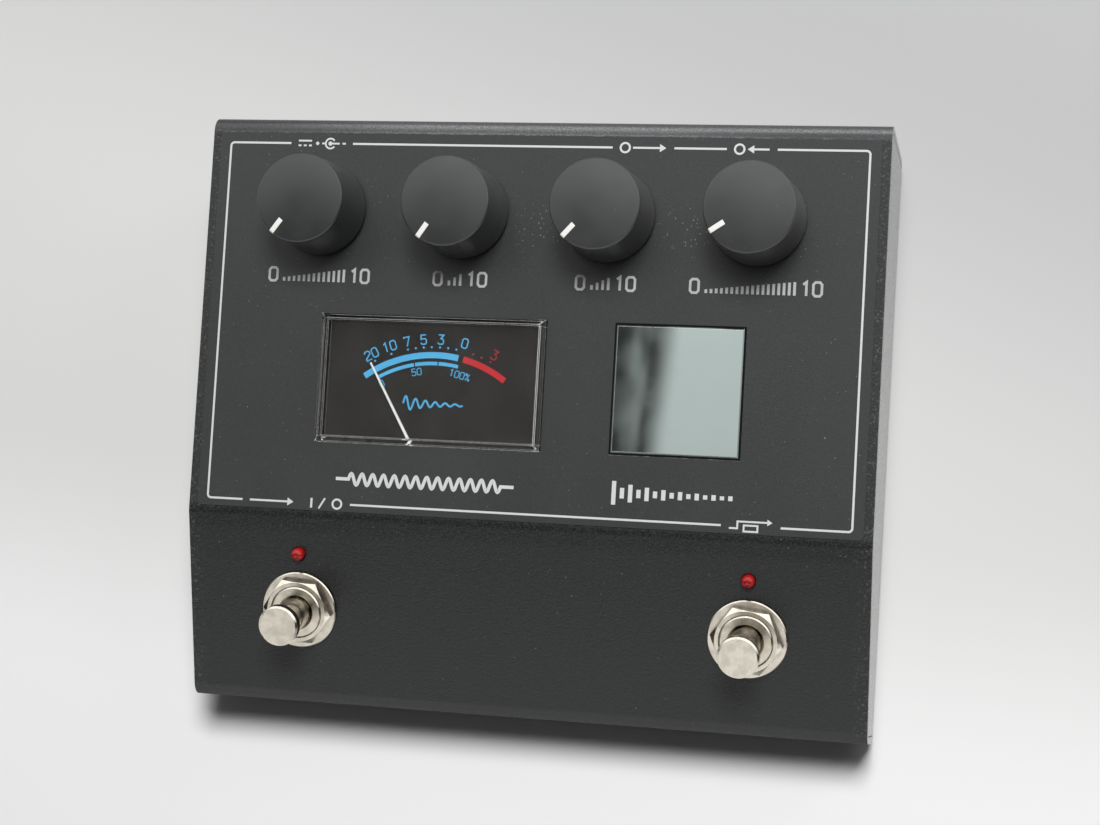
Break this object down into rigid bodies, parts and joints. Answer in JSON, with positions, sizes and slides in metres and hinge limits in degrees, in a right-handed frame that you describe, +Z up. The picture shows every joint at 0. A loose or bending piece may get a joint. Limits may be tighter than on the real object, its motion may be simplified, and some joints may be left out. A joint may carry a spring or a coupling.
{
  "type": "spring reverb unit",
  "caption": "Floor-standing spring reverb unit: folded dark case with a sloping foot deck, knobs, needle meter, mirror window, footswitches with lamps and rear sockets.",
  "frame": {"origin": "on the floor under the middle of the outer box, between the rubber feet", "axes": "+X to the right as the player sees it, +Y to the back where the sockets are, +Z up"},
  "size_m": [0.156, 0.1376, 0.0546],
  "materials": {
    "powder_coat": "fine textured black powder coat",
    "overlay_film": "smooth matte dark grey film with fine white print",
    "zinc_steel": "zinc plated",
    "black_rubber": "moulded, matte",
    "soft_touch": "soft touch black",
    "white_inlay": "white inlay",
    "pot_metal": "turned and stamped",
    "red_lens": "clear red resin",
    "nickel": "bright nickel plate",
    "switch_case": "blue moulding",
    "spring_steel": "drawn wire",
    "clear_acrylic": "clear polished acrylic",
    "black_moulding": "black moulding",
    "dial_face": "matte black print with blue and red scale",
    "magnet_iron": "sintered or soft iron",
    "bridge_brass": "stamped",
    "copper_winding": "enamelled copper wire",
    "needle_white": "white lacquer",
    "mirror_glass": "polished mirror glass",
    "tank_sheet": "folded sheet",
    "green_board": "solder mask",
    "component_black": "moulded"
  },
  "bodies": {
    "case": {"top_cover": "powder_coat", "base_tray": "powder_coat", "panel_overlay": "overlay_film", "base_screws": "zinc_steel", "pot_nuts": "zinc_steel", "switch_lock_nuts": "zinc_steel", "rubber_feet": "black_rubber", "tank_pads": "black_rubber", "window_seal": "black_rubber", "pot_bodies": "pot_metal", "led_left": "red_lens", "led_right": "red_lens", "switch_bushing_left": "nickel", "switch_bushing_right": "nickel", "switch_washers": "nickel", "switch_nuts": "nickel", "jack_nuts": "nickel", "switch_body_left": "switch_case", "switch_body_right": "switch_case", "switch_spring_left": "spring_steel", "switch_spring_right": "spring_steel", "tank_springs": "spring_steel", "meter_cover": "clear_acrylic", "meter_housing": "black_moulding", "window_bracket": "black_moulding", "meter_dial": "dial_face", "meter_magnet": "magnet_iron", "meter_core": "magnet_iron", "tank_magnets": "magnet_iron", "tank_drive_core": "magnet_iron", "tank_pickup_core": "magnet_iron", "meter_bridge": "bridge_brass", "tank_drive_coil": "copper_winding", "tank_pickup_coil": "copper_winding", "window_glass": "mirror_glass", "tank_channel": "tank_sheet", "main_board": "green_board", "jack_board": "green_board", "board_components": "component_black", "input_jack": "component_black", "output_jack": "component_black", "dc_jack": "component_black"},
    "knob_drive": {"knob_drive": "soft_touch", "pointer_drive": "white_inlay", "pot_shaft_drive": "pot_metal"},
    "knob_bass": {"knob_bass": "soft_touch", "pointer_bass": "white_inlay", "pot_shaft_bass": "pot_metal"},
    "knob_treble": {"knob_treble": "soft_touch", "pointer_treble": "white_inlay", "pot_shaft_treble": "pot_metal"},
    "knob_volume": {"knob_volume": "soft_touch", "pointer_volume": "white_inlay", "pot_shaft_volume": "pot_metal"},
    "button_left": {"switch_button_left": "nickel"},
    "button_right": {"switch_button_right": "nickel"},
    "needle": {"meter_needle": "needle_white", "meter_spindle": "needle_white", "meter_coil": "copper_winding"}
  },
  "joints": [
    {"name": "drive_turn", "type": "hinge", "parent": "case", "child": "knob_drive", "pos_m": [-0.0501, 0.04319, 0.03737], "axis": [0, 0.0523, -0.9986], "range_deg": [-8, 292]},
    {"name": "bass_turn", "type": "hinge", "parent": "case", "child": "knob_bass", "pos_m": [-0.0167, 0.04319, 0.03737], "axis": [0, 0.0523, -0.9986], "range_deg": [-5, 295]},
    {"name": "treble_turn", "type": "hinge", "parent": "case", "child": "knob_treble", "pos_m": [0.0167, 0.04319, 0.03737], "axis": [0, 0.0523, -0.9986], "range_deg": [-13, 287]},
    {"name": "volume_turn", "type": "hinge", "parent": "case", "child": "knob_volume", "pos_m": [0.0501, 0.04319, 0.03737], "axis": [0, 0.0523, -0.9986], "range_deg": [-27, 273]},
    {"name": "left_press", "type": "slide", "parent": "case", "child": "button_left", "axis": [0, 0.3007, -0.9537], "range_m": [0, 0.0022], "stiffness_N_per_m": 1500, "springref_m": -0.004, "deforming": ["switch_spring_left"]},
    {"name": "right_press", "type": "slide", "parent": "case", "child": "button_right", "axis": [0, 0.3007, -0.9537], "range_m": [0, 0.0022], "stiffness_N_per_m": 1500, "springref_m": -0.004, "deforming": ["switch_spring_right"]},
    {"name": "needle_swing", "type": "hinge", "parent": "case", "child": "needle", "pos_m": [-0.0222, -0.01702, 0.03421], "axis": [0, 0.0523, -0.9986], "range_deg": [0, 66], "stiffness_Nm_per_rad": 0.00005, "springref_deg": -17.19}
  ]
}
